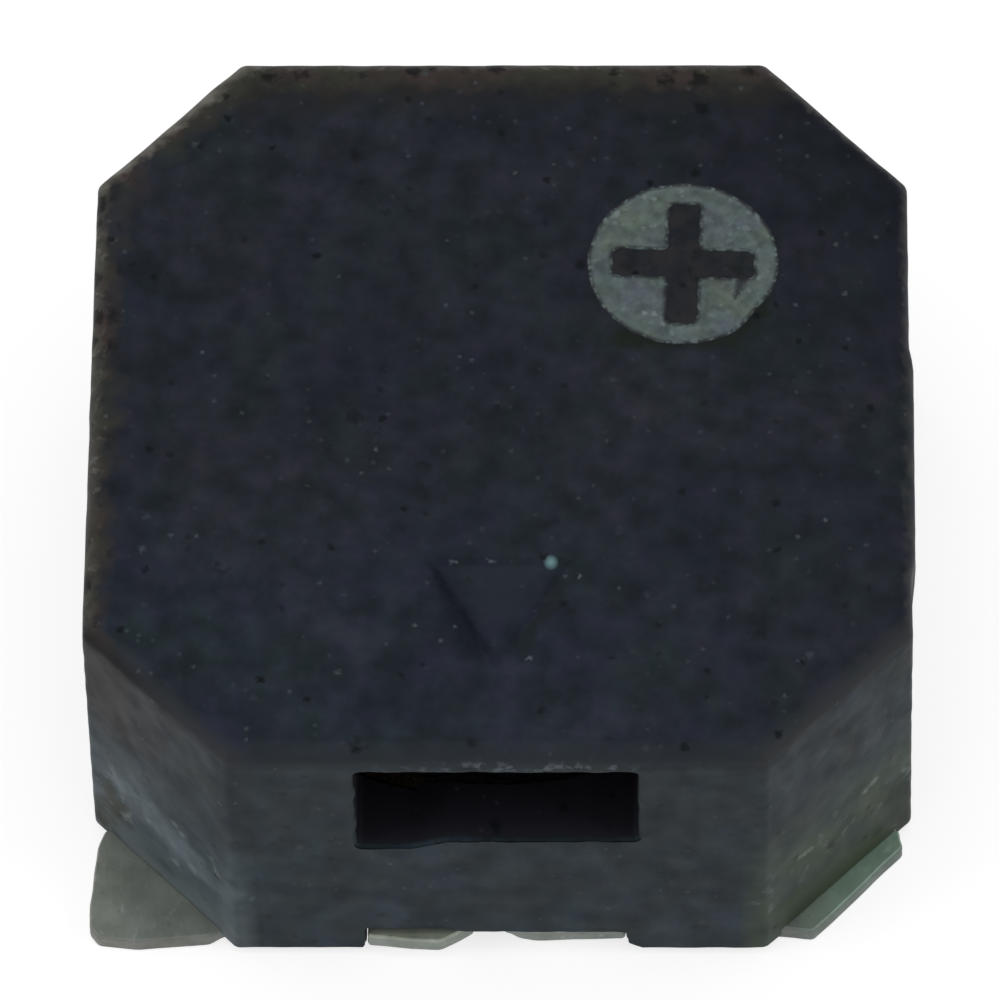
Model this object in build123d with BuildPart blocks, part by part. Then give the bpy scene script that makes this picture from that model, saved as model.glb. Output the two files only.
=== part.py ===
"""Surface-mount magnetic buzzer, 8.5 mm square and 4 mm high.

A moulded case with clipped corners closes over a moulded base that carries two folded sheet terminals.
On the base stand a steel yoke, core, coil and ring magnet. A support ring round them carries the
diaphragm and its weight, and the chamber above opens through a sound port in the front wall.

The frame: the board is Z = 0, +Z is up, the sound port faces -Y and the origin is under the centre.
All sizes are in millimetres.
"""

import os
from math import radians, sqrt, tan

from build123d import *

# Case
body_width = 8.5
body_height = 4.0
corner_cut = 1.5
corner_round = 0.25
top_round = 0.12
skirt_wall = 0.45
roof_thickness = 0.3
standoff = 0.1

# Sound port, and the sunk arrow that points to it
port_width = 2.9
port_sill = 0.1
port_corner = 0.08
arrow_side = 1.32
arrow_front_gap = 1.18
arrow_depth = 0.08
arrow_draft = 35

# Terminals, cut and folded from one thickness of sheet
sheet_thickness = 0.2
pad_length = 1.9
pad_recess = 0.15
tab_inset = 0.15
tab_overhang = 0.07
tab_corner = 0.1
marked_tab_reach = 0.21
neck_inset = 0.35
rail_width = 0.6
bridge_width = 0.5
bridge_skin = 0.25
arm_depth = 0.85

# Notch in the front skirt, and the torn ends of the arms that show in it
notch_width = 2.8
notch_corner = 0.1
arm_side_gap = 0.05
arm_gap = 0.31
arm_gap_centre = -0.115
tear_start = 0.12
tear_slant = {"positive": 0.2, "negative": 0.4}
tear_reach = {"positive": -0.03, "negative": 0.12}

# Base
base_skin = 0.15
base_clearance = 0.03
seal_chamfer = 0.08
lead_spacing = 1.6
lead_hole_diameter = 0.35
lead_groove_width = 0.25
lead_plug_depth = 0.15

# Magnetic circuit
yoke_sink = 0.1
yoke_thickness = 0.5
yoke_clearance = 0.05
yoke_seat_clearance = 0.03
edge_break = 0.05
core_diameter = 1.8
shank_diameter = 1.2
core_proud = 0.07
coil_height = 0.84
coil_bore_clearance = 0.04
wire_diameter = 0.07
wire_gap = 0.01
glue_film = 0.03
glue_meniscus = 0.08
magnet_height = 0.8
magnet_wall = 0.8
magnet_clearance = 0.1
magnet_to_coil = 0.4

# Diaphragm, and the ring that carries it
case_ledge = 0.1
ring_clearance = 0.03
ring_seat_width = 0.2
ring_rim_width = 0.15
ring_rim_height = 0.08
shoulder_width = 0.1
air_gap = 0.15
diaphragm_thickness = 0.04
diaphragm_clearance = 0.03
weight_diameter = 3.4
weight_thickness = 0.2
weld_dimple_diameter = 0.5
weld_dimple_depth = 0.05
weld_dimple_draft = 30

# Solder
solder_radius = 0.26
solder_height = 0.13
solder_gap = 0.04

# Heights that follow from the sizes, from the board upwards
arm_under = sheet_thickness
arm_top = arm_under + sheet_thickness
notch_top = arm_top + arm_side_gap
yoke_bottom = arm_top + base_skin
base_top = yoke_bottom + yoke_sink
ledge_under = base_top + glue_film
yoke_top = yoke_bottom + yoke_thickness
coil_bottom = yoke_top + glue_film
coil_top = coil_bottom + coil_height
turns_high = round(coil_height / wire_diameter)
turn_pitch = coil_height / turns_high
lead_z = coil_bottom + 3 / 2 * turn_pitch
core_top = coil_top + core_proud
diaphragm_under = core_top + air_gap
diaphragm_top = diaphragm_under + diaphragm_thickness
weight_top = diaphragm_top + weight_thickness
ring_top = diaphragm_under + ring_rim_height
port_bottom = ring_top + port_sill
roof_under = body_height - roof_thickness

# Widths that follow, from the case inwards
body_half = body_width / 2
pocket_half = body_half - skirt_wall
base_half = pocket_half - base_clearance
bore_radius = pocket_half - case_ledge
chamber_radius = bore_radius - shoulder_width
ring_radius = bore_radius - ring_clearance
rim_radius = ring_radius - ring_rim_width
diaphragm_radius = rim_radius - diaphragm_clearance
ring_inner_radius = rim_radius - ring_seat_width
yoke_radius = ring_inner_radius - yoke_clearance
magnet_radius = ring_inner_radius - magnet_clearance
magnet_inner_radius = magnet_radius - magnet_wall
coil_radius = magnet_inner_radius - magnet_to_coil
valley_radius = coil_radius - wire_diameter / 3
core_radius = core_diameter / 2
coil_inner_radius = core_radius + coil_bore_clearance

# Places of the terminals and leads
pad_edge = body_half - pad_recess
pad_inner = pad_edge - pad_length
tab_edge = body_half + tab_overhang
tab_start = body_half - corner_cut + tab_inset
rail_outer = pad_inner - sheet_thickness
rail_inner = rail_outer - rail_width
rail_end = pocket_half - neck_inset
arm_root_y = -(pocket_half - arm_depth)
bridge_y = -(pocket_half - bridge_skin)
lead_x = lead_spacing / 2
lead_hole_radius = (coil_radius + magnet_inner_radius) / 2
lead_hole_y = -sqrt(lead_hole_radius**2 - lead_x**2)
pocket_reach = solder_radius + solder_gap
solder_y = (arm_root_y - base_half) / 2
lead_run_z = arm_under - wire_gap - wire_diameter / 2

sides = {"positive": 1, "negative": -1}


def body_outline(inset=0.0):
    """Draws the clipped square of the body, moved in by inset so that a wall keeps one thickness."""
    Rectangle(body_width - 2 * inset, body_width - 2 * inset)
    chamfer(vertices(), corner_cut - (2 - sqrt(2)) * inset)


def patch(x_low, x_high, y_low, y_high):
    """Draws a rectangle between two corners."""
    with Locations(((x_low + x_high) / 2, (y_low + y_high) / 2)):
        Rectangle(abs(x_high - x_low), abs(y_high - y_low))


def pad(side, end):
    """Draws a solder pad: a square under the case, and a tab that fills the case's clipped corner."""
    Polygon(
        (side * pad_inner, end * pad_inner),
        (side * pad_edge, end * pad_inner),
        (side * pad_edge, end * tab_start),
        (side * tab_edge, end * (tab_start + tab_edge - pad_edge)),
        (side * tab_edge, end * (tab_edge - tab_corner)),
        (side * (tab_edge - tab_corner), end * tab_edge),
        (side * (tab_start + tab_edge - pad_edge), end * tab_edge),
        (side * tab_start, end * pad_edge),
        (side * pad_inner, end * pad_edge),
        align=None,
    )


def marked_corner_cut():
    """Cuts the front pad of the positive side along the case's clipped corner, as its mark."""
    edge_sum = body_width - corner_cut + sqrt(2) * marked_tab_reach
    Polygon(
        (edge_sum - body_width, -body_width),
        (body_width, -body_width),
        (body_width, body_width - edge_sum),
        align=None,
        mode=Mode.SUBTRACT,
    )


def arm(side, slant, reach):
    """Draws the arm that comes out in the front notch, with its end torn to a slanted tip."""
    inner_x = arm_gap_centre + side * arm_gap / 2
    outer_x = side * (notch_width / 2 - arm_side_gap)
    Polygon(
        (outer_x, arm_root_y),
        (outer_x, -body_half),
        (inner_x + side * slant, -body_half - reach),
        (inner_x, -body_half + tear_start),
        (inner_x, arm_root_y),
        align=None,
    )


def fold_profile(side):
    """Draws the sheet from the front: flat at the pads, and one thickness higher inside the fold."""
    bend_shift = sheet_thickness * tan(radians(45 / 2))
    Polygon(
        (side * body_width, 0),
        (side * (pad_inner - bend_shift), 0),
        (side * (rail_outer - bend_shift), arm_under),
        (-side * arm_gap, arm_under),
        (-side * arm_gap, arm_top),
        (side * rail_outer, arm_top),
        (side * pad_inner, sheet_thickness),
        (side * body_width, sheet_thickness),
        align=None,
    )


def terminal(side, slant, reach):
    """One terminal, cut flat and folded: two pads, the rail that joins them, and the arm."""
    with BuildPart() as sheet:
        with BuildSketch(Plane.XY):
            pad(side, 1)
            pad(side, -1)
            if side > 0:
                marked_corner_cut()
            for end in (-1, 1):
                patch(side * rail_inner, side * pad_inner, end * pad_inner, end * rail_end)
            patch(side * rail_inner, side * rail_outer, -rail_end, rail_end)
            patch(side * lead_x, side * rail_outer, bridge_y, bridge_y + bridge_width)
            arm(side, slant, reach)
        extrude(amount=arm_top)
        with BuildSketch(Plane.XZ):
            fold_profile(side)
        extrude(amount=body_width, both=True, mode=Mode.INTERSECT)
    return sheet


def coil_lead(side):
    """Bare end of the winding: off its second turn, down through yoke and base, and on to the solder."""
    coil_share = coil_radius / lead_hole_radius
    with BuildPart() as lead:
        with BuildLine() as route:
            Polyline(
                (side * lead_x * coil_share, lead_hole_y * coil_share, lead_z),
                (side * lead_x, lead_hole_y, lead_z),
                (side * lead_x, lead_hole_y, lead_run_z),
                (side * lead_x, solder_y, lead_run_z),
            )
        with BuildSketch(Plane(origin=route.line @ 0, z_dir=route.line % 0)):
            Circle(wire_diameter / 2)
        sweep(transition=Transition.RIGHT)
    return lead


def solder_joint(side, lead):
    """Low dome of solder under the arm, closed round the end of its lead."""
    centre = Plane(origin=(side * lead_x, solder_y, arm_under), x_dir=(1, 0, 0), z_dir=(0, -1, 0))
    with BuildPart() as joint:
        with BuildSketch(centre):
            with BuildLine():
                Line((0, -solder_height), (0, 0))
                Line((0, 0), (solder_radius, 0))
                Spline(
                    (solder_radius, 0),
                    (0, -solder_height),
                    tangents=((-1, -1), (-1, 0)),
                )
            make_face()
        revolve(axis=Axis((side * lead_x, solder_y, 0), (0, 0, 1)))
        add(lead.part, mode=Mode.SUBTRACT)
    return joint


def lead_seal(side, lead):
    """Compound that fills the lead's groove under the base, and plugs the foot of the hole above it."""
    with BuildPart() as seal:
        with BuildSketch(Plane.XY.offset(standoff)):
            patch(
                side * lead_x - lead_groove_width / 2,
                side * lead_x + lead_groove_width / 2,
                solder_y + pocket_reach,
                lead_hole_y,
            )
            with Locations((side * lead_x, lead_hole_y)):
                Circle(lead_hole_diameter / 2)
        extrude(amount=arm_under - standoff)
        with BuildSketch(Plane.XY.offset(arm_under)):
            with Locations((side * lead_x, lead_hole_y)):
                Circle(lead_hole_diameter / 2)
        extrude(amount=lead_plug_depth)
        add(lead.part, mode=Mode.SUBTRACT)
    return seal


# Terminals and leads, one of each for either side
terminals = {}
leads = {}
joints = {}
seals = {}
for name, side in sides.items():
    terminals[name] = terminal(side, tear_slant[name], tear_reach[name])
    leads[name] = coil_lead(side)
    joints[name] = solder_joint(side, leads[name])
    seals[name] = lead_seal(side, leads[name])

# Case: a deep cap that reaches down past the base on all sides
with BuildPart() as case:
    with BuildSketch(Plane.XY.offset(standoff)):
        body_outline()
        fillet(vertices(), corner_round)
    extrude(amount=body_height - standoff)
    fillet(case.faces().sort_by(Axis.Z)[-1].edges(), top_round)

    # Pocket for the base, bore for the support ring, and the chamber over the diaphragm
    with BuildSketch(Plane.XY.offset(standoff)):
        body_outline(skirt_wall)
    extrude(amount=ledge_under - standoff, mode=Mode.SUBTRACT)
    with BuildSketch(Plane.XY.offset(ledge_under)):
        Circle(bore_radius)
    extrude(amount=ring_top - ledge_under, mode=Mode.SUBTRACT)
    with BuildSketch(Plane.XY.offset(ring_top)):
        Circle(chamber_radius)
    extrude(amount=roof_under - ring_top, mode=Mode.SUBTRACT)

    # Sound port, from a low sill up to the roof
    with BuildSketch(Plane.XZ.offset(body_half)):
        with Locations((0, (port_bottom + roof_under) / 2)):
            RectangleRounded(port_width, roof_under - port_bottom, port_corner)
    extrude(amount=-body_half, mode=Mode.SUBTRACT)

    # Notch in the front skirt, where the arms come out, with its lower corners cut
    with BuildSketch(Plane.XZ.offset(body_half)):
        Polygon(
            (-notch_width / 2 - notch_corner, standoff),
            (notch_width / 2 + notch_corner, standoff),
            (notch_width / 2, standoff + notch_corner),
            (notch_width / 2, notch_top),
            (-notch_width / 2, notch_top),
            (-notch_width / 2, standoff + notch_corner),
            align=None,
        )
    extrude(amount=-(skirt_wall + base_clearance), mode=Mode.SUBTRACT)

    # Skirt raised over the four pads, but for a thin lip beside each pad's square
    with BuildSketch(Plane.XY):
        for side in (-1, 1):
            for end in (-1, 1):
                patch(
                    side * (pad_inner - base_clearance),
                    side * (pad_edge + base_clearance),
                    end * (pad_inner - base_clearance),
                    end * (pad_edge + base_clearance),
                )
    extrude(amount=sheet_thickness + base_clearance, mode=Mode.SUBTRACT)

    # Sunk arrow in the roof, with its point to the port
    with BuildSketch(Plane.XY.offset(body_height)):
        with Locations((0, -body_half + arrow_front_gap + arrow_side / sqrt(3))):
            RegularPolygon(arrow_side / sqrt(3), 3, rotation=-90)
    extrude(amount=-arrow_depth, taper=arrow_draft, mode=Mode.SUBTRACT)

# Base: a plate moulded round both terminals
with BuildPart() as base:
    with BuildSketch(Plane.XY.offset(standoff)):
        body_outline(skirt_wall + base_clearance)
    extrude(amount=base_top - standoff)
    chamfer(base.faces().sort_by(Axis.Z)[0].edges(), seal_chamfer)

    # Round seat for the yoke
    with BuildSketch(Plane.XY.offset(base_top)):
        Circle(yoke_radius + yoke_seat_clearance)
    extrude(amount=-yoke_sink, mode=Mode.SUBTRACT)

    # Pockets that bare the arms for soldering, and the groove and hole of each lead
    with BuildSketch(Plane.XY):
        with Locations((lead_x, solder_y), (-lead_x, solder_y)):
            Rectangle(2 * pocket_reach, 2 * pocket_reach)
        with Locations((lead_x, (solder_y + lead_hole_y) / 2), (-lead_x, (solder_y + lead_hole_y) / 2)):
            Rectangle(lead_groove_width, lead_hole_y - solder_y)
    extrude(amount=arm_under, mode=Mode.SUBTRACT)
    with BuildSketch(Plane.XY):
        with Locations((lead_x, lead_hole_y), (-lead_x, lead_hole_y)):
            Circle(lead_hole_diameter / 2)
    extrude(amount=base_top, mode=Mode.SUBTRACT)

    for sheet in terminals.values():
        add(sheet.part, mode=Mode.SUBTRACT)

# Glue between the top of the base and the ledge of the case
with BuildPart() as case_glue:
    with BuildSketch(Plane.XY.offset(base_top)):
        body_outline(skirt_wall + base_clearance)
        Circle(bore_radius, mode=Mode.SUBTRACT)
    extrude(amount=glue_film)

# Yoke: a steel disc with the core's hole and two holes for the leads
with BuildPart() as yoke_plate:
    with BuildSketch(Plane.XY.offset(yoke_bottom)):
        Circle(yoke_radius)
        Circle(shank_diameter / 2, mode=Mode.SUBTRACT)
        with Locations((lead_x, lead_hole_y), (-lead_x, lead_hole_y)):
            Circle(lead_hole_diameter / 2, mode=Mode.SUBTRACT)
    extrude(amount=yoke_thickness)
    chamfer(yoke_plate.edges().filter_by(GeomType.CIRCLE).sort_by(SortBy.RADIUS)[-2:], edge_break)

# Core: a turned steel pole, with its shank pressed into the yoke
with BuildPart() as core:
    with BuildSketch(Plane.XZ):
        with BuildLine():
            Polyline(
                (0, yoke_bottom),
                (shank_diameter / 2, yoke_bottom),
                (shank_diameter / 2, yoke_top),
                (core_radius, yoke_top),
                (core_radius, core_top - edge_break),
                (core_radius - edge_break, core_top),
                (0, core_top),
                close=True,
            )
        make_face()
    revolve(axis=Axis.Z)

# Coil: enamelled wire, whose outer layer of turns shows as ridges on its side
with BuildPart() as coil:
    with BuildSketch(Plane.XZ):
        with BuildLine():
            Polyline(
                (valley_radius, coil_top),
                (coil_inner_radius, coil_top),
                (coil_inner_radius, coil_bottom),
                (valley_radius, coil_bottom),
            )
            for turn in range(turns_high):
                low = coil_bottom + turn * turn_pitch
                Polyline(
                    (valley_radius, low),
                    (coil_radius, low + turn_pitch / 2),
                    (valley_radius, low + turn_pitch),
                )
        make_face()
    revolve(axis=Axis.Z)

# Glue under the coil, with a small meniscus at its foot and none over the lead holes
with BuildPart() as coil_glue:
    with BuildSketch(Plane.XZ):
        with BuildLine():
            Polyline(
                (core_radius, coil_bottom),
                (core_radius, yoke_top),
                (coil_radius + glue_meniscus, yoke_top),
                (valley_radius, coil_bottom),
                close=True,
            )
        make_face()
    revolve(axis=Axis.Z)
    with BuildSketch(Plane.XY.offset(yoke_top)):
        with Locations((lead_x, lead_hole_y), (-lead_x, lead_hole_y)):
            Circle(lead_hole_diameter / 2)
    extrude(amount=glue_film, mode=Mode.SUBTRACT)

# Ring magnet, and the glue that holds it to the yoke
with BuildPart() as magnet_glue:
    with BuildSketch(Plane.XY.offset(yoke_top)):
        Circle(magnet_radius - edge_break)
        Circle(magnet_inner_radius + edge_break, mode=Mode.SUBTRACT)
    extrude(amount=glue_film)

with BuildPart() as ring_magnet:
    with BuildSketch(Plane.XY.offset(coil_bottom)):
        Circle(magnet_radius)
        Circle(magnet_inner_radius, mode=Mode.SUBTRACT)
    extrude(amount=magnet_height)
    chamfer(ring_magnet.edges().filter_by(GeomType.CIRCLE), edge_break)

# Support ring: turned, with a ledge for the diaphragm and a rim round it that the case holds down
with BuildPart() as support_ring:
    with BuildSketch(Plane.XZ):
        with BuildLine():
            Polyline(
                (ring_inner_radius, base_top),
                (ring_radius, base_top),
                (ring_radius, ring_top),
                (rim_radius, ring_top),
                (rim_radius, diaphragm_under),
                (ring_inner_radius, diaphragm_under),
                close=True,
            )
        make_face()
    revolve(axis=Axis.Z)

# Diaphragm: a thin steel disc that the magnet holds down on the ledge
with BuildPart() as diaphragm:
    with BuildSketch(Plane.XY.offset(diaphragm_under)):
        Circle(diaphragm_radius)
    extrude(amount=diaphragm_thickness)

# Weight: a disc welded to the diaphragm, with the dimple of the weld at its centre
with BuildPart() as diaphragm_weight:
    with BuildSketch(Plane.XY.offset(diaphragm_top)):
        Circle(weight_diameter / 2)
    extrude(amount=weight_thickness)
    chamfer(diaphragm_weight.faces().sort_by(Axis.Z)[-1].edges(), edge_break)
    with BuildSketch(Plane.XY.offset(weight_top)):
        Circle(weld_dimple_diameter / 2)
    extrude(amount=-weld_dimple_depth, taper=weld_dimple_draft, mode=Mode.SUBTRACT)

nodes = {
    "case": case,
    "case_glue": case_glue,
    "base": base,
    "yoke_plate": yoke_plate,
    "core": core,
    "coil": coil,
    "coil_glue": coil_glue,
    "ring_magnet": ring_magnet,
    "magnet_glue": magnet_glue,
    "support_ring": support_ring,
    "diaphragm": diaphragm,
    "diaphragm_weight": diaphragm_weight,
}
for name in sides:
    nodes["terminal_" + name] = terminals[name]
    nodes["coil_lead_" + name] = leads[name]
    nodes["solder_joint_" + name] = joints[name]
    nodes["lead_seal_" + name] = seals[name]

os.makedirs("parts", exist_ok=True)
for name, node in nodes.items():
    node.part.label = name
    export_step(node.part, f"parts/{name}.step")
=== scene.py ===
"""Surface-mount magnetic buzzer on a plain white floor, put together in the order in which it is made.

Sizes are written in millimetres and turned to metres where a mesh is made. The board is Z = 0, +Z is up
and the sound port faces -Y.
"""

import math

import bmesh
import bpy
import numpy as np
from mathutils import Matrix


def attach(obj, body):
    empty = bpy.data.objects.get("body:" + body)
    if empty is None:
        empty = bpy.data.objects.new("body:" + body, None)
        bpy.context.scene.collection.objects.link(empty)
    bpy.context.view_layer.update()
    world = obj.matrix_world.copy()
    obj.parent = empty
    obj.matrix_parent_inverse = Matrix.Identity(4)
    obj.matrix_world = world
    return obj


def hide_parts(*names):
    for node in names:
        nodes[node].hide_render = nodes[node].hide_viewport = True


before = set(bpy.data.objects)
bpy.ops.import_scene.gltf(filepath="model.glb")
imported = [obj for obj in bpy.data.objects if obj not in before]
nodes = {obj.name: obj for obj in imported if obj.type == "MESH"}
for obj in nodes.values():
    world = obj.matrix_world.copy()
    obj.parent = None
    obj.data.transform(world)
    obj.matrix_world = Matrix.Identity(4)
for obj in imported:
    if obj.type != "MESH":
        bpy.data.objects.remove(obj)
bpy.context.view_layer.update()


# Terminals
# Two strips of tin-plated sheet, 0.2 mm thick. Each is sheared flat in one piece with its two solder pads,
# rail, bridge and arm, then folded up one thickness between the pads and the rail.

MM = 0.001
SHEET = 0.2
PAD_OUTER = 4.10
PAD_INNER = 2.20
RAIL_OUTER = 2.00
RAIL_INNER = 1.40
RAIL_END = 3.45
BRIDGE_FRONT = -3.55
BRIDGE_REAR = -3.05
ARM_OUTER = 1.35
ARM_ROOT = -2.95
ARM_STEP = (-3.82, -3.75)

# The pads' tabs in the case's clipped corners, each from its side to its end: at the rear, at the front
# left, and at the front right, where the tab is cut along the corner as a mark.
REAR_TAB = [(4.27, 3.07), (4.316, 3.72), (4.316, 4.18), (4.19, 4.315), (3.70, 4.315), (3.05, 4.26)]
FRONT_TAB = [(4.255, 3.12), (4.316, 3.80), (4.316, 4.09), (4.22, 4.215), (3.80, 4.26), (3.05, 4.195)]
MARKED_TAB = [(4.17, 2.97), (4.215, 3.12), (3.265, 4.145), (3.08, 4.115)]

# The torn end of each arm, from its outer corner to its inner one.
TEARS = {
    "positive": [
        (1.30, -4.225), (1.03, -4.235), (0.70, -4.25), (0.35, -4.26),
        (0.19, -4.23), (0.09, -4.165), (0.02, -4.16),
    ],
    "negative": [
        (-1.395, -4.31), (-1.20, -4.325), (-0.95, -4.355), (-0.63, -4.375),
        (-0.44, -4.27), (-0.27, -4.165),
    ],
}


def ripple(points, pitch, seed, waves=9):
    """Small irregularity at each point: sine waves about a pitch long, of seeded directions and phases.

    Value = 1.6 * the mean of sin(2 pi / pitch * point . way + phase).
    """
    chance = np.random.default_rng(seed)
    ways = chance.normal(size=(waves, 3))
    turns = 2 * math.pi / pitch * chance.uniform(0.6, 1.7, waves)
    ways *= (turns / np.linalg.norm(ways, axis=1))[:, None]
    return np.sin(points @ ways.T + chance.uniform(0, 2 * math.pi, waves)).mean(1) * 1.6


def even_run(corners, pitch):
    """Points at even steps along the closed run through the corners, by its length."""
    ring = np.vstack([corners, corners[:1]])
    along = np.concatenate([[0], np.cumsum(np.linalg.norm(np.diff(ring, axis=0), axis=1))])
    at = np.linspace(0, along[-1], round(along[-1] / pitch), endpoint=False)
    return np.stack([np.interp(at, along, ring[:, axis]) for axis in (0, 1)], 1)


def worn_run(run, reach):
    """The closed run with its corners worn round: each point is the mean of those up to reach away."""
    return np.mean([np.roll(run, step, 0) for step in range(-reach, reach + 1)], 0)


def edge_ways(run):
    """Unit way out of a counter-clockwise closed run at each point: its chord turned by a right angle."""
    chord = np.roll(run, -1, 0) - np.roll(run, 1, 0)
    ways = np.stack([chord[:, 1], -chord[:, 0]], 1)
    return ways / np.linalg.norm(ways, axis=1)[:, None]


def pad_corners(side, end):
    """Corners of one pad: out along the side of its square, round the tab, and back in along its end."""
    if end > 0:
        tab = REAR_TAB
    else:
        tab = MARKED_TAB if side > 0 else FRONT_TAB
    run = [(PAD_INNER, PAD_INNER), (PAD_OUTER, PAD_INNER), (PAD_OUTER, 2.90), (4.18, 2.91), *tab]
    run += [(2.90, PAD_OUTER), (PAD_INNER, PAD_OUTER), (PAD_INNER, RAIL_END)]
    return [(side * x, end * y) for x, y in run]


def terminal_corners(name, side):
    """Corners of a whole terminal, laid flat: front pad, rail, rear pad, bridge, and the torn arm."""
    tear = TEARS[name]
    outer, inner, arm = side * RAIL_OUTER, side * RAIL_INNER, side * ARM_OUTER
    rail = [(outer, -PAD_INNER), (outer, PAD_INNER)]
    bridge = [(inner, RAIL_END), (inner, BRIDGE_REAR), (arm, BRIDGE_REAR)]
    root = [(arm, ARM_ROOT), (tear[-1][0], ARM_ROOT)]
    foot = [(tear[0][0], ARM_STEP[0]), (arm, ARM_STEP[1]), (arm, BRIDGE_FRONT)]
    neck = [(outer, BRIDGE_FRONT), (outer, -RAIL_END)]
    pads = [pad_corners(side, end) for end in (-1, 1)]
    corners = np.array([*pads[0][::-1], *rail, *pads[1], *bridge, *root, *tear[::-1], *foot, *neck], float)
    return corners if side > 0 else corners[::-1]


def at_height(outline, z):
    """An outline as a ring of points at one height."""
    return np.column_stack([outline, np.full(len(outline), z)])


def mesh_piece(name, points, faces, sharp=35):
    """A piece from points in millimetres and faces, smooth but for edges of more than sharp degrees."""
    mesh = bpy.data.meshes.new(name)
    mesh.from_pydata(np.asarray(points) * MM, [], [list(face) for face in faces])
    mesh.validate()
    mesh.shade_smooth()
    mesh.set_sharp_from_angle(angle=math.radians(sharp))
    piece = bpy.data.objects.new(name, mesh)
    bpy.context.scene.collection.objects.link(piece)
    return piece


def grid_faces(rows, columns):
    """Quads between each row of a grid and the next, where every row closes on itself."""
    low = np.arange((rows - 1) * columns).reshape(rows - 1, columns)
    high = low + columns
    return np.stack([low, np.roll(low, -1, 1), np.roll(high, -1, 1), high], -1).reshape(-1, 4)


def fold_height(x):
    """Rise of the sheet: none at the pads, one thickness at the rail, and an even slope between."""
    return SHEET * np.clip((PAD_INNER - np.abs(x)) / (PAD_INNER - RAIL_OUTER), 0, 1)


def terminal_piece(name, side):
    """The sheared outline carried up the cut edge, from burr to rolled top edge, then capped and folded.

    Point = outline - inset * way out, at the height of that step of the edge. The caps are cut along the
    bends, and every point is lifted by the fold.
    """
    run = worn_run(even_run(terminal_corners(name, side), 0.02), 2)
    waver = ripple(at_height(run, 0.0), 0.5, 3 + side) * 0.008
    taken_in = 0.004
    run = run + edge_ways(run) * waver[:, None]
    run = run - edge_ways(run) * taken_in
    burr = [(0.02, 0.0), (0.004, 0.004), (0.0, 0.02)]
    edge = [*burr, (0.005, 0.09), (0.002, 0.15), (0.010, 0.185), (0.024, SHEET)]
    rings = [at_height(run - edge_ways(run) * inset, z) for inset, z in edge]
    count = len(run)
    faces = [list(range(count))[::-1], *grid_faces(len(edge), count).tolist()]
    faces.append(list(range((len(edge) - 1) * count, len(edge) * count)))
    piece = mesh_piece("terminal_sheet_" + name, np.vstack(rings), faces)
    form = bmesh.new()
    form.from_mesh(piece.data)
    bmesh.ops.triangulate(form, faces=[face for face in form.faces if len(face.verts) > 4])
    past = 0.02
    for x in np.linspace(RAIL_OUTER - past, PAD_INNER + past, 5) * side * MM:
        everything = form.verts[:] + form.edges[:] + form.faces[:]
        bmesh.ops.bisect_plane(form, geom=everything, plane_co=(x, 0, 0), plane_no=(1, 0, 0), dist=1e-7)
    form.to_mesh(piece.data)
    form.free()
    points = np.empty(len(piece.data.vertices) * 3)
    piece.data.vertices.foreach_get("co", points)
    points = points.reshape(-1, 3) / MM
    points[:, 2] += fold_height(points[:, 0])
    piece.data.vertices.foreach_set("co", (points * MM).ravel())
    piece.data.update()
    return piece


def new_finish(name):
    """An empty material with its node tree, its surface shader and the piece's own coordinates."""
    material = bpy.data.materials.new(name)
    material.use_nodes = True
    tree = material.node_tree
    shader = tree.nodes["Principled BSDF"]
    place = tree.nodes.new("ShaderNodeTexCoord").outputs["Object"]
    return material, tree, shader, place


def in_sizes(tree, place, size, stretch=(1, 1, 1)):
    """Coordinates counted in sizes, given in millimetres and stretched along the axes."""
    scaled = tree.nodes.new("ShaderNodeMapping")
    scaled.inputs["Scale"].default_value = tuple(1 / (size * MM * way) for way in stretch)
    tree.links.new(place, scaled.inputs["Vector"])
    return scaled.outputs["Vector"]


def noise(tree, place, scale, detail):
    """Soft noise on coordinates: its grey and its colour."""
    soft = tree.nodes.new("ShaderNodeTexNoise")
    soft.inputs["Scale"].default_value = scale
    soft.inputs["Detail"].default_value = detail
    tree.links.new(place, soft.inputs["Vector"])
    return soft.outputs["Fac"], soft.outputs["Color"]


def grain(tree, place, size, detail=3.0, stretch=(1, 1, 1)):
    """Grey noise whose blotches are about size millimetres across, stretched along the axes."""
    return noise(tree, in_sizes(tree, place, size, stretch), 1.0, detail)[0]


def steps(tree, value, stops):
    """A value or colour read off a ramp of (position, shade) stops."""
    ramp = tree.nodes.new("ShaderNodeValToRGB")
    while len(ramp.color_ramp.elements) < len(stops):
        ramp.color_ramp.elements.new(1.0)
    for element, (position, shade) in zip(ramp.color_ramp.elements, stops):
        element.position = position
        element.color = (*shade, 1) if isinstance(shade, tuple) else (shade, shade, shade, 1)
    tree.links.new(value, ramp.inputs["Fac"])
    return ramp.outputs["Color"]


def feed(tree, socket, value):
    """Gives a socket its value: a pattern, a colour of three shades, a place or a plain number."""
    if isinstance(value, bpy.types.NodeSocket):
        tree.links.new(value, socket)
    elif socket.type == "RGBA":
        socket.default_value = (*value, 1)
    else:
        socket.default_value = value


def laid_over(tree, amount, under, over, way="MIX"):
    """One colour laid over another, by an amount from 0 to 1 that is a number or a pattern."""
    mix = tree.nodes.new("ShaderNodeMix")
    mix.data_type = "RGBA"
    mix.blend_type = way
    feed(tree, mix.inputs["Factor"], amount)
    feed(tree, mix.inputs["A"], under)
    feed(tree, mix.inputs["B"], over)
    return mix.outputs["Result"]


def between(tree, value, low, high):
    """A shade that goes evenly from 0 to 1 as a length goes from low to high, in millimetres."""
    scale = tree.nodes.new("ShaderNodeMapRange")
    scale.inputs["From Min"].default_value = low * MM
    scale.inputs["From Max"].default_value = high * MM
    tree.links.new(value, scale.inputs["Value"])
    return scale.outputs["Result"]


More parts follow.
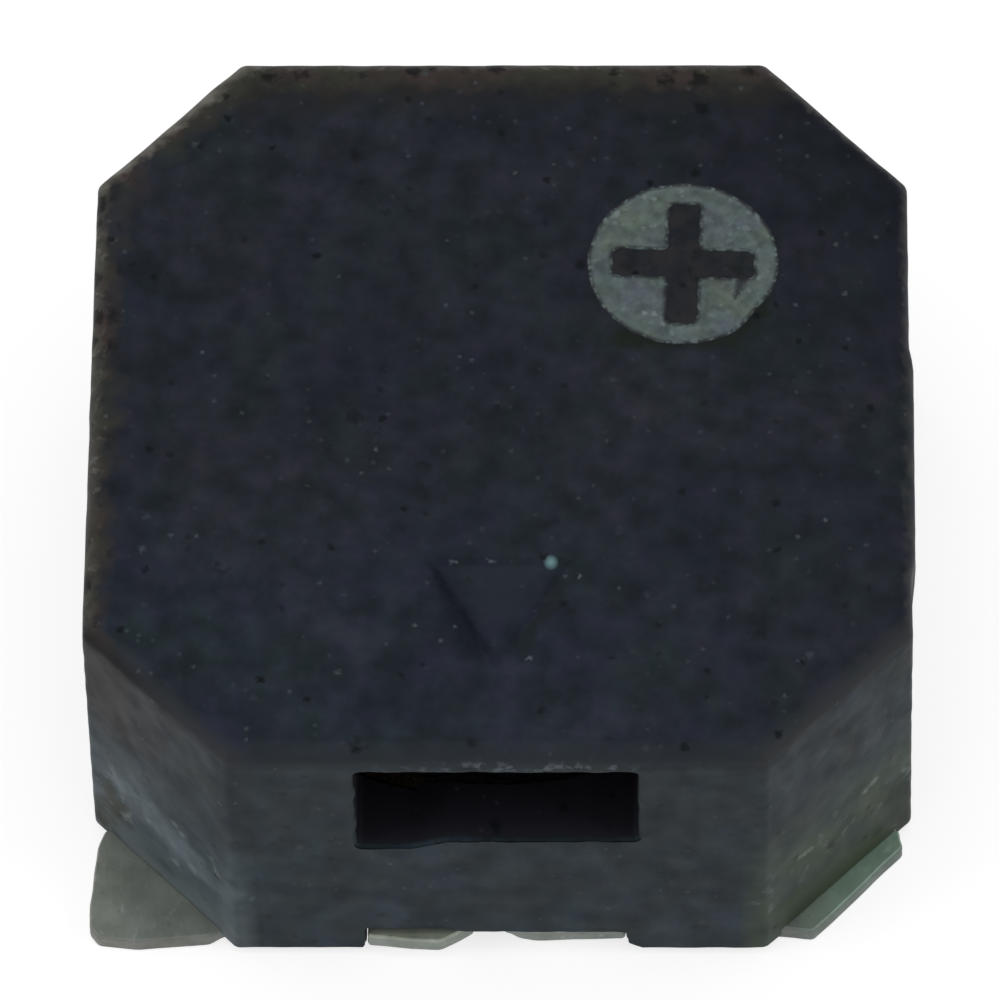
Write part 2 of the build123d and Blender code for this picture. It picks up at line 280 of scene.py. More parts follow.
def fade(tree, place, axis, low, high):
    """A shade that goes from 0 to 1 between two places in millimetres along an axis."""
    split = tree.nodes.new("ShaderNodeSeparateXYZ")
    tree.links.new(place, split.inputs["Vector"])
    return between(tree, split.outputs[axis], low, high)


def both(tree, *shades):
    """Where all the shades meet: their product."""
    meeting = shades[0]
    for shade in shades[1:]:
        meeting = laid_over(tree, 1.0, meeting, shade, "MULTIPLY")
    return meeting


def surfaced(tree, shader, colour, roughness, height, depth):
    """Gives a surface its colour, its roughness, and bumps of a depth in millimetres."""
    feed(tree, shader.inputs["Base Color"], colour)
    feed(tree, shader.inputs["Roughness"], roughness)
    bump = tree.nodes.new("ShaderNodeBump")
    bump.inputs["Distance"].default_value = depth * MM
    feed(tree, bump.inputs["Height"], height)
    feed(tree, shader.inputs["Normal"], bump.outputs["Normal"])


def tin_finish():
    """Dull tin on rolled sheet: cloudy grey-green with marks and rubs, and painted light and shade:
    lighter, greener right-hand pads, darker cut edges, paler arm tops, a darker positive terminal and a
    lighter outer edge on the left pads.
    """
    material, tree, shader, place = new_finish("dull_tin")
    shader.inputs["Metallic"].default_value = 0.5
    shades = [(0.32, (0.255, 0.285, 0.250)), (0.68, (0.350, 0.385, 0.350))]
    clouds = steps(tree, grain(tree, place, 0.35, 4), shades)
    marks = steps(tree, grain(tree, place, 0.06, 5), [(0.62, 0.0), (0.74, 0.45)])
    rubs_and_painted_light = steps(tree, grain(tree, place, 0.09, 6, (1, 2, 1)), [(0.60, 0.0), (0.76, 0.5)])
    colour = laid_over(tree, marks, clouds, (0.16, 0.18, 0.16))
    colour = laid_over(tree, rubs_and_painted_light, colour, (0.55, 0.60, 0.56))
    right_pads = fade(tree, place, "X", 2.9, 3.6)
    cut_edge = fade(tree, place, "Z", 0.198, 0.175)
    # Painted light and shade: the right-hand pads lighter and greener, the cut edges darker, the tops of
    # the arms paler, the positive terminal darker, and the outer edge of the left pads lighter.
    painted_light_and_shade = (
        (right_pads, (1.36, 1.74, 1.53)),
        (cut_edge, (0.70, 0.66, 0.67)),
        (both(tree, right_pads, cut_edge), (0.70, 0.65, 0.70)),
        (fade(tree, place, "Z", 0.35, 0.38), (1.5, 1.5, 1.4)),
        (fade(tree, place, "X", 0.0, 0.05), (0.88, 0.88, 0.90)),
        (fade(tree, place, "X", -3.8, -4.3), (1.25, 1.20, 1.20)),
    )
    for where, tint in painted_light_and_shade:
        colour = laid_over(tree, where, colour, tint, "MULTIPLY")
    roughness = steps(tree, grain(tree, place, 0.2), [(0.3, 0.45), (0.7, 0.62)])
    surfaced(tree, shader, colour, roughness, grain(tree, place, 0.07, 4, (1, 4, 1)), 0.004)
    return material


tin = tin_finish()
for name, side in (("positive", 1), ("negative", -1)):
    terminal = terminal_piece(name, side)
    terminal.data.materials.append(tin)
    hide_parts("terminal_" + name)
    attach(terminal, "root")


# Base
# Black plate of heat-resistant plastic, moulded round the rails of both terminals, with a skin above and
# below the sheet. Pockets in its underside bare the two arms for soldering.


def plastic_finish(name, dark, light):
    """Plain moulded plastic: two close shades in soft clouds, and a fine spark-eroded grain."""
    material, tree, shader, place = new_finish(name)
    shader.inputs["Specular IOR Level"].default_value = 0.4
    colour = steps(tree, grain(tree, place, 0.5, 4), [(0.3, dark), (0.7, light)])
    roughness = steps(tree, grain(tree, place, 0.1), [(0.3, 0.5), (0.7, 0.7)])
    surfaced(tree, shader, colour, roughness, grain(tree, place, 0.05, 4), 0.004)
    return material


def give_finish(node, material):
    """Puts a finish on a CAD node that keeps its own shape."""
    nodes[node].data.materials.clear()
    nodes[node].data.materials.append(material)


black_base = plastic_finish("black_base", (0.010, 0.011, 0.012), (0.022, 0.023, 0.025))
give_finish("base", black_base)


# Yoke and core
# The yoke is a disc blanked from soft steel, which seats in a shallow recess of the base. The core is a
# turned pole, and its thinner shank is pressed into the hole in the yoke's middle.


def metal_finish(name, dark, light, roughness, stretch=(1, 1, 1)):
    """Bare or plated metal: close shades in clouds, and fine tool lines along the stretched axis."""
    material, tree, shader, place = new_finish(name)
    shader.inputs["Metallic"].default_value = 1.0
    colour = steps(tree, grain(tree, place, 0.4), [(0.3, dark), (0.7, light)])
    lines = grain(tree, place, 0.03, 4, stretch)
    spread = 0.08
    varied = steps(tree, lines, [(0.3, roughness - spread), (0.7, roughness + spread)])
    surfaced(tree, shader, colour, varied, lines, 0.003)
    return material


blanked_steel = metal_finish("yoke_steel_plate", (0.38, 0.38, 0.39), (0.5, 0.5, 0.5), 0.35)
turned_steel = metal_finish("turned_core", (0.42, 0.42, 0.43), (0.55, 0.55, 0.55), 0.3, (9, 9, 1))
give_finish("yoke_plate", blanked_steel)
give_finish("core", turned_steel)


# Coil
# Enamelled copper wire, wound in even layers round the core. Its two ends are stripped bare and led down
# through the yoke and the base to the arms.

enamelled = metal_finish("enamelled_wire", (0.45, 0.16, 0.06), (0.62, 0.26, 0.10), 0.28)
give_finish("coil", enamelled)
lead_copper = metal_finish("bare_copper", (0.60, 0.30, 0.18), (0.75, 0.42, 0.28), 0.3)
for name in ("positive", "negative"):
    give_finish("coil_lead_" + name, lead_copper)


# Solder, seals and glue
# A low dome of solder closes round the end of each lead under its arm, and black compound fills the lead's
# groove. Amber glue holds the coil and the magnet on the yoke, and the case on the base.

solder = metal_finish("frosty_solder", (0.55, 0.56, 0.57), (0.72, 0.73, 0.74), 0.3)
seal = plastic_finish("black_compound", (0.012, 0.012, 0.012), (0.03, 0.03, 0.03))
glue = plastic_finish("amber_glue", (0.30, 0.20, 0.09), (0.42, 0.30, 0.15))
for name in ("positive", "negative"):
    give_finish("solder_joint_" + name, solder)
    give_finish("lead_seal_" + name, seal)
for name in ("coil_glue", "magnet_glue", "case_glue"):
    give_finish(name, glue)


# Magnet, ring and diaphragm
# A sintered ring magnet stands round the coil, and a turned brass ring round that. The ring's ledge holds
# a thin diaphragm of rolled steel, with a small steel disc welded on as its weight.

sintered = metal_finish("sintered_magnet", (0.08, 0.08, 0.085), (0.16, 0.16, 0.165), 0.5)
brass = metal_finish("turned_brass", (0.55, 0.42, 0.20), (0.68, 0.53, 0.28), 0.3)
rolled_steel = metal_finish("diaphragm_sheet", (0.35, 0.35, 0.36), (0.48, 0.48, 0.48), 0.3, (6, 1, 1))
disc_steel = metal_finish("weight_disc", (0.4, 0.4, 0.41), (0.52, 0.52, 0.52), 0.3)
give_finish("ring_magnet", sintered)
give_finish("support_ring", brass)
give_finish("diaphragm", rolled_steel)
give_finish("diaphragm_weight", disc_steel)


# Case
# Cap of dark blue-grey plastic, moulded with the port, the front notch, the sunk arrow and a raised skirt
# over the pads. It is glued down over the base.

HALF = 4.25
TOP = 3.996
UNDER = 0.1
CORNER_CUT = 1.5
EDGE_IN = 0.24
EDGE_DOWN = 0.16
DRAFT = 0.048
RIGHT_SWELL = 0.042
REAR_SWELL = 0.034
ROOF_UNDER = 3.7
SHOULDER = 2.22
LEDGE = 0.68
BORE = 3.7
CHAMBER = 3.6
SKIRT = 0.45
PORT_SIZE = (2.9, 1.36)
PORT_MIDDLE = (-0.005, 3.02)
PAD_ROOM = 1.96
PAD_ROOM_TOP = 0.225
PAD_MIDDLE = 3.15
ARROW_SIDE = 1.32
ARROW_FRONT_GAP = 1.18
MARK = (1.90, 1.71)


def joined_arcs(facing, centre, corner, turned, turn, run):
    """A closed run of arcs about the centres, each turned on from its facing, joined by straight runs."""
    sweep = facing[:, None] + np.radians(np.linspace(0, turned, turn))[None, :]
    arcs = centre[:, None, :] + corner * np.stack([np.cos(sweep), np.sin(sweep)], -1)
    share = np.linspace(0, 1, run)[1:-1, None]
    runs = arcs[:, -1, None, :] * (1 - share) + np.roll(arcs, -1, 0)[:, 0, None, :] * share
    return np.concatenate([arcs, runs], 1).reshape(-1, 2)


def clipped_square(inset, corner):
    """The body's outline moved in by inset, counter-clockwise from the rear right.

    Wall k faces 45 k degrees at its distance from the middle. Each corner is an arc whose centre lies a
    corner radius behind both its walls.
    """
    facing = np.radians(45 * np.arange(8))
    away = np.where(np.arange(8) % 2, (2 * HALF - CORNER_CUT) / math.sqrt(2), HALF) - inset - corner
    ways = np.stack([np.cos(facing), np.sin(facing)], 1)
    after, far = np.roll(ways, -1, 0), np.roll(away, -1)
    centre = np.stack([after[:, 1] * away - ways[:, 1] * far, ways[:, 0] * far - after[:, 0] * away], 1)
    centre /= math.sin(math.radians(45))
    return joined_arcs(facing, centre, corner, 45, turn=9, run=40)


def round_like(outline, radius):
    """A circle with one point in the direction of each point of an outline."""
    return outline / np.linalg.norm(outline, axis=1)[:, None] * radius


def swelling(ring):
    """How far the walls swell out high up: along a stretch of the right wall, and along the whole rear."""
    x, y, z = ring.T
    stretch = np.clip((0.80 - y) / 0.25, 0, 1) * np.clip((y + 1.95) / 0.15, 0, 1)
    right = RIGHT_SWELL * stretch * np.clip((x - 4.0) / 0.15, 0, 1)
    rear = REAR_SWELL * np.clip((y - 3.2) / 0.7, 0, 1)
    high = np.clip((z - 2.6) / 0.8, 0, 1)
    return np.maximum(right, rear) * high


def uneven_wall(ring):
    """A ring of the wall, moved in by a small ripple and out by the swelling."""
    inwards = 0.006 + 0.006 * ripple(ring, 0.45, 11) - swelling(ring)
    return ring - np.column_stack([edge_ways(ring[:, :2]) * inwards[:, None], 0 * ring[:, 0]])


def case_rings():
    """Rings of the cap in one run: roof inside, chamber, bore, pocket, rim, outer wall, top edge, top.

    The wall stands out by DRAFT * (1 - z / TOP), and a quarter of an ellipse rounds its top edge.
    """
    corner, inner_corner, break_in = 0.12, 0.2, 0.03
    pocket = clipped_square(SKIRT, inner_corner)
    bore, chamber = round_like(pocket, BORE), round_like(pocket, CHAMBER)
    inside = [at_height(chamber * share, ROOF_UNDER) for share in (0.02, 0.5, 1)]
    inside += [at_height(chamber, SHOULDER), at_height(bore, SHOULDER), at_height(bore, LEDGE)]
    inside += [at_height(pocket, LEDGE), at_height(pocket, UNDER + break_in)]
    inside.append(at_height(clipped_square(SKIRT - break_in, inner_corner), UNDER))
    wall = [at_height(clipped_square(break_in - DRAFT, corner), UNDER)]
    for z in np.linspace(UNDER + break_in, TOP - EDGE_DOWN, 40):
        wall.append(at_height(clipped_square(DRAFT * (z / TOP - 1), corner), z))
    for turn in np.radians(np.linspace(0, 90, 9)[1:]):
        shift = EDGE_IN * (1 - math.cos(turn))
        edge = clipped_square(shift, corner - 0.4 * shift)
        wall.append(at_height(edge, TOP - EDGE_DOWN * (1 - math.sin(turn))))
    wall = [uneven_wall(ring) for ring in wall]
    last = wall[-1]
    top = [np.column_stack([last[:, :2] * share, last[:, 2]]) for share in np.linspace(1, 0.02, 16)[1:]]
    return [*inside, *wall, *top]


def cut_away(piece, cutter):
    """Takes the cutter's body out of the piece, for good."""
    cut = piece.modifiers.new("cut", "BOOLEAN")
    cut.operation = "DIFFERENCE"
    cut.solver = "EXACT"
    cut.object = cutter
    result = bpy.data.meshes.new_from_object(piece.evaluated_get(bpy.context.evaluated_depsgraph_get()))
    piece.modifiers.clear()
    piece.data = result
    bpy.data.objects.remove(cutter)


def rounded_rectangle(size, corner, run=12):
    """Rectangle about the origin with round corners, counter-clockwise."""
    signs = np.array([(1, 1), (-1, 1), (-1, -1), (1, -1)])
    centre = signs * (np.array(size) / 2 - corner)
    return joined_arcs(np.radians(90 * np.arange(4)), centre, corner, 90, turn=6, run=run)


def face_outward(piece):
    """Turns every face of a closed piece outward."""
    form = bmesh.new()
    form.from_mesh(piece.data)
    bmesh.ops.recalc_face_normals(form, faces=form.faces)
    form.to_mesh(piece.data)
    form.free()


def closed_body(name, rings):
    """A closed body from rings that may lie in any plane, with a point at the middle of each end."""
    count = len(rings[0])
    points = np.vstack([rings[0].mean(0), *rings, rings[-1].mean(0)])
    start = np.arange(count) + 1
    end = start + (len(rings) - 1) * count
    first = np.stack([np.zeros(count, int), np.roll(start, -1), start], 1)
    last = np.stack([np.full(count, len(points) - 1), end, np.roll(end, -1)], 1)
    faces = [*first.tolist(), *(grid_faces(len(rings), count) + 1).tolist(), *last.tolist()]
    piece = mesh_piece(name, points, faces)
    face_outward(piece)
    return piece


def opening_cutter(name, outline, depth, lip, seed, rough):
    """Body that cuts an opening in the front wall: its outline carried inwards from a round lip.

    Point = (x, wall + y, z), with the outline grown by lip * (1 - root of sin t) where y = lip * sin t.
    """
    in_front = 0.3
    steps_in = [(-in_front, lip), (0.0, lip)]
    for t in np.radians((15, 35, 60, 90)):
        steps_in.append((lip * math.sin(t), lip * (1 - math.sin(t) ** 0.5)))
    steps_in.append((depth, 0.0))
    rings = []
    for y, grow in steps_in:
        grown = outline + edge_ways(outline) * grow
        ring = np.column_stack([grown[:, 0], np.full(len(grown), -HALF + y), grown[:, 1]])
        wave = ripple(at_height(outline, 0.0), 0.35, seed) * rough
        ring[:, [0, 2]] += edge_ways(outline) * wave[:, None]
        rings.append(ring)
    return closed_body(name, rings)


def port_outline():
    """The port from the front: a rectangle with small corners, whose sill is lower at the left."""
    outline = rounded_rectangle(PORT_SIZE, 0.07, run=30) + PORT_MIDDLE
    sag = 0.14 * np.clip((-0.52 - outline[:, 0]) / 0.36, 0, 1) * (outline[:, 1] < 2.8)
    return np.column_stack([outline[:, 0], outline[:, 1] - sag])


case = closed_body("case_cap", case_rings())
cut_away(case, opening_cutter("port_cutter", port_outline(), depth=2.0, lip=0.03, seed=21, rough=0.018))
notch = [(1.48, -0.2), (1.48, 0.1), (1.31, 0.22), (1.31, 0.43), (-0.42, 0.445), (-0.52, 0.51)]
notch += [(-1.4, 0.515), (-1.4, 0.16), (-1.44, 0.1), (-1.44, -0.2)]
notch = worn_run(even_run(np.array(notch), 0.03), 1)
cut_away(case, opening_cutter("notch_cutter", notch, depth=0.48, lip=0.02, seed=22, rough=0.008))
for side in (-1, 1):
    for end in (-1, 1):
        room = rounded_rectangle((PAD_ROOM, PAD_ROOM), 0.03) + (side * PAD_MIDDLE, end * PAD_MIDDLE)
        cut_away(case, closed_body("pad_cutter", [at_height(room, z) for z in (0.0, PAD_ROOM_TOP)]))

# The arrow's outline is widest above the top, and narrows step by step to its floor.
angles = np.radians((270, 30, 150))
triangle = np.stack([np.cos(angles), np.sin(angles)], 1) * ARROW_SIDE / math.sqrt(3)
triangle = worn_run(even_run(triangle, 0.03), 3)
arrow_place = (0, -HALF + ARROW_FRONT_GAP + ARROW_SIDE / math.sqrt(3))
arrow_steps = [(1.34, 4.05), (1.24, TOP), (1.19, 3.991), (1.10, 3.972)]
arrow_steps += [(1.01, 3.948), (0.95, 3.935), (0.90, 3.930)]
arrow_rings = [at_height(triangle * share + arrow_place, z) for share, z in arrow_steps]
cut_away(case, closed_body("arrow_cutter", arrow_rings))


def reckoned(tree, operation, *values, kind="VectorMath"):
    """One step of arithmetic on patterns, places in metres and plain numbers."""
    step = tree.nodes.new("ShaderNode" + kind)
    step.operation = operation
    for socket, value in zip(step.inputs, values):
        feed(tree, socket, value)
    return step


def unsettled(tree, place, size):
    """Coordinates shifted about by a size in millimetres, which makes a pattern's outline ragged."""
    colour = noise(tree, place, 1 / (size * MM), 2)[1]
    evenly = reckoned(tree, "SUBTRACT", colour, (0.5, 0.5, 0.5)).outputs["Vector"]
    return reckoned(tree, "MULTIPLY_ADD", evenly, (2 * size * MM,) * 3, place).outputs["Vector"]


def tinged(tree, place, size, depth):
    """Small drifts of hue: red, green and blue each times 1 give or take its own noise, blue least."""
    colour = noise(tree, place, 1 / (size * MM), 3)[1]
    depths = np.array([0.9, 0.8, 0.35]) * depth
    return reckoned(tree, "MULTIPLY_ADD", colour, tuple(2 * depths), tuple(1 - depths)).outputs["Vector"]


def specks(tree, place, spacing, radius, share):
    """Scattered ragged specks of a radius: one for each cell of a spacing, in a share of the cells."""
    cells = tree.nodes.new("ShaderNodeTexVoronoi")
    cells.inputs["Scale"].default_value = 1.0
    ragged = unsettled(tree, place, radius * 0.8)
    tree.links.new(in_sizes(tree, ragged, spacing), cells.inputs["Vector"])
    reach = radius / spacing
    near = steps(tree, cells.outputs["Distance"], [(reach * 0.3, 1.0), (reach, 0.0)])
    parts = tree.nodes.new("ShaderNodeSeparateColor")
    tree.links.new(cells.outputs["Color"], parts.inputs["Color"])
    chosen = steps(tree, parts.outputs["Red"], [(1 - share, 0.0), (1.0, 1.0)])
    return laid_over(tree, 1.0, near, chosen, "MULTIPLY")


def spot(tree, place, centre, inner, outer):
    """A shade round a place in millimetres: 1 within the inner distance of it and 0 beyond the outer."""
    apart = reckoned(tree, "DISTANCE", place, tuple(value * MM for value in centre))
    return between(tree, apart.outputs["Value"], outer, inner)


def stroke(tree, place, start, end, inner, outer):
    """A shade along a straight stroke: 1 within the inner distance of it and 0 beyond the outer.

    The nearest point is start + t * way, where t = (place - start) . way / way . way, kept in 0 to 1.
    """
    way = np.subtract(end, start) * MM
    from_start = reckoned(tree, "SUBTRACT", place, tuple(value * MM for value in start)).outputs["Vector"]
    share = reckoned(tree, "DOT_PRODUCT", from_start, tuple(way / (way @ way) * MM)).outputs["Value"]
    nearest = reckoned(tree, "SCALE", tuple(way))
    feed(tree, nearest.inputs["Scale"], between(tree, share, 0, 1))
    apart = reckoned(tree, "DISTANCE", from_start, nearest.outputs["Vector"])
    return between(tree, apart.outputs["Value"], outer, inner)


def across(tree, place, x, y, low, high):
    """A shade that goes from 0 to 1 with a distance, in millimetres, along a direction in the plan."""
    return between(tree, reckoned(tree, "DOT_PRODUCT", place, (x, y, 0)).outputs["Value"], low, high)


def either(tree, *shades):
    """Where at least one of the shades is: the lightest of them."""
    joined = shades[0]
    for shade in shades[1:]:
        joined = laid_over(tree, 1.0, joined, shade, "LIGHTEN")
    return joined


def moulded_colour(tree, place):
    """The plastic's colour: dark blue-grey clouds, greener and violet patches and a fine mottle, darker
    towards the rear right and lighter and bluer towards the front left, with painted highlights along the
    top's front edge and front corners.
    """
    clouds = [(0.34, (0.0158, 0.0175, 0.0312)), (0.50, (0.0192, 0.0213, 0.0338))]
    clouds.append((0.66, (0.0245, 0.0255, 0.0375)))
    colour = steps(tree, grain(tree, place, 1.5, 4), clouds)
    green = steps(tree, grain(tree, place, 0.8, 5, (1, 1.5, 1)), [(0.46, 0.0), (0.62, 0.9)])
    colour = laid_over(tree, green, colour, (0.0170, 0.0240, 0.0310))
    violet = steps(tree, grain(tree, place, 1.0, 4, (1.3, 1, 1)), [(0.52, 0.0), (0.66, 0.35)])
    colour = laid_over(tree, violet, colour, (0.0200, 0.0200, 0.0325))
    blotches = steps(tree, grain(tree, place, 0.30, 3), [(0.30, 0.58), (0.50, 1.0), (0.72, 1.48)])
    colour = laid_over(tree, 1.0, colour, blotches, "MULTIPLY")
    for size, depth in ((0.30, 0.26), (0.12, 0.22)):
        colour = laid_over(tree, 1.0, colour, tinged(tree, place, size, depth), "MULTIPLY")
    corner = across(tree, place, 0.7071, 0.7071, 1.8, 4.6)
    colour = laid_over(tree, corner, colour, (0.62, 0.59, 0.68), "MULTIPLY")
    front = both(tree, fade(tree, place, "Y", -0.6, -2.6), across(tree, place, 1, 0, 3.2, 0.6))
    colour = laid_over(tree, front, colour, (1.10, 1.20, 1.24), "MULTIPLY")
    above = fade(tree, place, "Z", 3.80, 3.88)
    rolled = across(tree, place, 0, -1, 4.02, 4.30)
    corners = [across(tree, place, side * 0.7071, -0.7071, 4.72, 4.97) for side in (-1, 1)]
    # Painted highlights: the rounded front edge of the top and the top edges of the front corners are
    # painted lighter.
    colour = laid_over(tree, both(tree, rolled, above), colour, (0.044, 0.049, 0.056))
    return laid_over(tree, both(tree, either(tree, *corners), above), colour, (0.052, 0.053, 0.056))


def rims_stain_and_highlights(tree, place, colour):
    """Round the top edge: brown at the rear and olive at the left, painted highlights as pale lines along
    the outermost edges and corners, pale bits and dark pits.
    """
    ragged = unsettled(tree, place, 0.10)
    loose = unsettled(tree, place, 0.40)
    height = fade(tree, place, "Z", 3.3, 3.8)
    warm = both(tree, across(tree, loose, 0, 1, 3.55, 3.95), height)
    colour = laid_over(tree, warm, colour, (0.0245, 0.0215, 0.0212))
    rear = across(tree, unsettled(tree, place, 0.22), 0, 1, 3.84, 4.08)
    rear_left = across(tree, loose, -0.7071, 0.7071, 4.55, 4.88)
    left = across(tree, loose, -1, 0, 3.90, 4.18)
    stain = both(tree, either(tree, rear, rear_left, left), height)
    hues = [(0.40, (0.062, 0.044, 0.040)), (0.60, (0.050, 0.050, 0.036))]
    colour = laid_over(tree, stain, colour, steps(tree, grain(tree, place, 0.6, 3), hues))
    patchy = steps(tree, grain(tree, place, 0.28, 5), [(0.36, 0.25), (0.58, 1.0)])
    # Painted highlights: pale lines along the outermost left and rear edges, the clipped rear-left corner,
    # the rear-right corner and the right edge.
    edge = either(tree, across(tree, ragged, -1, 0, 4.08, 4.20), across(tree, ragged, 0, 1, 4.12, 4.20))
    colour = laid_over(tree, both(tree, edge, height, patchy), colour, (0.098, 0.094, 0.082))
    clipped = across(tree, ragged, -0.7071, 0.7071, 4.76, 4.88)
    colour = laid_over(tree, both(tree, clipped, height, patchy), colour, (0.250, 0.232, 0.205))
    thin = both(tree, across(tree, ragged, 0.7071, 0.7071, 4.83, 4.91), height, patchy)
    colour = laid_over(tree, thin, colour, (0.105, 0.102, 0.104))
    right = both(tree, across(tree, ragged, 1, 0, 4.15, 4.22), height, patchy)
    colour = laid_over(tree, right, colour, (0.048, 0.048, 0.050))
    bits = steps(tree, grain(tree, place, 0.12, 5), [(0.58, 0.0), (0.67, 0.9)])
    edges = either(tree, both(tree, edge, height), thin)
    colour = laid_over(tree, both(tree, edges, bits), colour, (0.190, 0.175, 0.155))
    pits = steps(tree, specks(tree, place, 0.30, 0.125, 0.75), [(0.0, 0.0), (0.5, 0.9)])
    reach = either(tree, across(tree, ragged, 0, 1, 3.86, 3.98), across(tree, ragged, -1, 0, 3.90, 4.05))
    return laid_over(tree, both(tree, pits, reach, height), colour, (0.010, 0.007, 0.007))


def corner_light_and_scuffs(tree, place, colour):
    """Low on the front clipped corners: painted light and painted reflections of the pads, bluish at the
    left and olive at the right, with painted highlights, a warm darker upper left, dark spots, pale dashes
    and pale scuffs.
    """
    left = across(tree, place, -0.7071, -0.7071, 4.80, 4.93)
    right = across(tree, place, 0.7071, -0.7071, 4.78, 4.93)
    ragged = unsettled(tree, place, 0.35)
    warm = both(tree, left, fade(tree, ragged, "Z", 2.0, 2.8), fade(tree, place, "X", -3.1, -3.9))
    colour = laid_over(tree, warm, colour, (0.016, 0.012, 0.013))
    low = fade(tree, ragged, "Z", 2.5, 1.5)
    lowest = fade(tree, place, "Z", 0.9, 0.3)
    clouds = steps(tree, grain(tree, place, 0.45, 5), [(0.34, 0.45), (0.58, 1.0)])
    # Painted light and painted reflections of the pads: the low parts of both corners are painted lighter,
    # most at the bottom.
    rubs_and_painted_light = (
        (left, low, (0.078, 0.104, 0.118)),
        (left, lowest, (0.185, 0.225, 0.240)),
        (right, low, (0.052, 0.076, 0.058)),
        (right, lowest, (0.068, 0.086, 0.050)),
    )
    for corner, height, shade in rubs_and_painted_light:
        colour = laid_over(tree, both(tree, corner, height, clouds), colour, shade)
    for side, corner, shade in ((-1, left, (0.030, 0.033, 0.022)), (1, right, (0.020, 0.027, 0.016))):
        grime = stroke(tree, ragged, (side * 4.2, -2.8, 0.3), (side * 4.0, -3.0, 1.0), 0.10, 0.35)
        colour = laid_over(tree, both(tree, corner, grime), colour, shade)
    band = both(tree, fade(tree, ragged, "Z", 0.4, 1.0), fade(tree, ragged, "Z", 1.9, 1.35))
    # Painted highlights: soft pale patches in a band across both corners.
    painted_highlight_patches = steps(tree, grain(tree, place, 0.50, 4, (1, 1, 1.3)), [(0.44, 0.0), (0.62, 0.8)])
    colour = laid_over(tree, both(tree, left, band, painted_highlight_patches), colour, (0.150, 0.190, 0.215))
    colour = laid_over(tree, both(tree, right, band, painted_highlight_patches), colour, (0.074, 0.096, 0.060))
    # Painted highlights: a pale patch and a pale trail on the left corner.
    patch = stroke(tree, ragged, (-3.60, -3.45, 1.30), (-3.25, -3.80, 1.20), 0.08, 0.42)
    trail = stroke(tree, ragged, (-3.95, -3.10, 1.40), (-3.10, -3.95, 1.15), 0.02, 0.22)
    mottled = steps(tree, grain(tree, place, 0.25, 4), [(0.36, 0.35), (0.60, 1.0)])
    pale = both(tree, left, either(tree, patch, trail), mottled)
    colour = laid_over(tree, pale, colour, (0.180, 0.225, 0.255))
    fine = unsettled(tree, place, 0.08)
    rear_dash = stroke(tree, fine, (3.92, -3.12, 1.66), (3.80, -3.24, 1.58), 0.01, 0.06)
    front_dash = stroke(tree, fine, (3.22, -3.82, 1.38), (3.12, -3.92, 1.38), 0.01, 0.06)
    dashes = both(tree, right, either(tree, rear_dash, front_dash))
    colour = laid_over(tree, dashes, colour, (0.200, 0.230, 0.210))
    scuffs = steps(tree, grain(tree, place, 0.18, 3), [(0.60, 0.0), (0.74, 1.0)])
    scuffs = both(tree, either(tree, left, steps(tree, right, [(0.0, 0.0), (1.0, 0.5)])), band, scuffs)
    return laid_over(tree, scuffs, colour, (0.250, 0.290, 0.290))


def port_wear_and_shade(tree, place, colour):
    """Pale chips and painted highlights along the port's upper lip, small dark nicks along its sill, and
    painted shade that makes its inside dull and dark.
    """
    wall = across(tree, place, 0, -1, 4.21, 4.24)
    ragged = unsettled(tree, place, 0.06)
    middle = both(tree, fade(tree, ragged, "X", -1.3, -0.2), fade(tree, ragged, "X", 1.5, 1.1))
    lip = both(tree, wall, middle, fade(tree, ragged, "Z", 3.70, 3.76), fade(tree, ragged, "Z", 3.92, 3.84))
    # Pale chips and painted highlights along the upper lip.
    chips_and_highlights = steps(tree, grain(tree, place, 0.13, 5), [(0.50, 0.0), (0.60, 0.9)])
    colour = laid_over(tree, both(tree, lip, chips_and_highlights), colour, (0.150, 0.178, 0.200))
    sill = both(tree, wall, fade(tree, ragged, "Z", 2.46, 2.38), fade(tree, ragged, "Z", 2.20, 2.28))
    nicks = steps(tree, grain(tree, place, 0.10, 5), [(0.56, 0.0), (0.63, 0.9)])
    nicked = both(tree, sill, fade(tree, place, "X", 1.5, 1.4), nicks)
    colour = laid_over(tree, nicked, colour, (0.008, 0.008, 0.010))
    # Painted shade: the inside of the port, behind the front wall and between the jambs, is painted darker.
    between_jambs = both(tree, fade(tree, place, "X", -1.6, -1.55), fade(tree, place, "X", 1.6, 1.55))
    behind_wall = both(tree, across(tree, place, 0, -1, 4.22, 4.19), fade(tree, place, "Y", -1, -2))
    inside = both(tree, behind_wall, between_jambs, fade(tree, place, "Z", 3.80, 3.74))
    return laid_over(tree, inside, colour, (0.0175, 0.0155, 0.0235))


def dust_and_pits(tree, place, colour):
    """Pale dust and dark pits over the whole cap, and the few larger ones near the polarity mark."""
    dust = either(tree, specks(tree, place, 0.14, 0.034, 0.33), specks(tree, place, 0.40, 0.055, 0.28))
    dust = both(tree, dust, steps(tree, grain(tree, place, 1.0, 4), [(0.40, 0.15), (0.62, 0.85)]))
    colour = laid_over(tree, dust, colour, (0.105, 0.130, 0.145))
    pits = either(tree, specks(tree, place, 0.24, 0.060, 0.35), specks(tree, place, 0.7, 0.12, 0.45))
    black = (0.0030, 0.0030, 0.0050)
    colour = laid_over(tree, steps(tree, pits, [(0.0, 0.0), (0.7, 0.9)]), colour, black)
    ragged = unsettled(tree, place, 0.04)
    large_pits = [(1.55, 2.71, 0.06), (2.03, 2.84, 0.08), (0.83, 1.70, 0.08), (2.66, 1.06, 0.07)]
    large_pits.append((1.40, 1.60, 0.06))
    for x, y, reach in large_pits:
        pit = spot(tree, ragged, (x, y, 4.0), 0.3 * reach, reach)
        colour = laid_over(tree, pit, colour, black)
    return colour


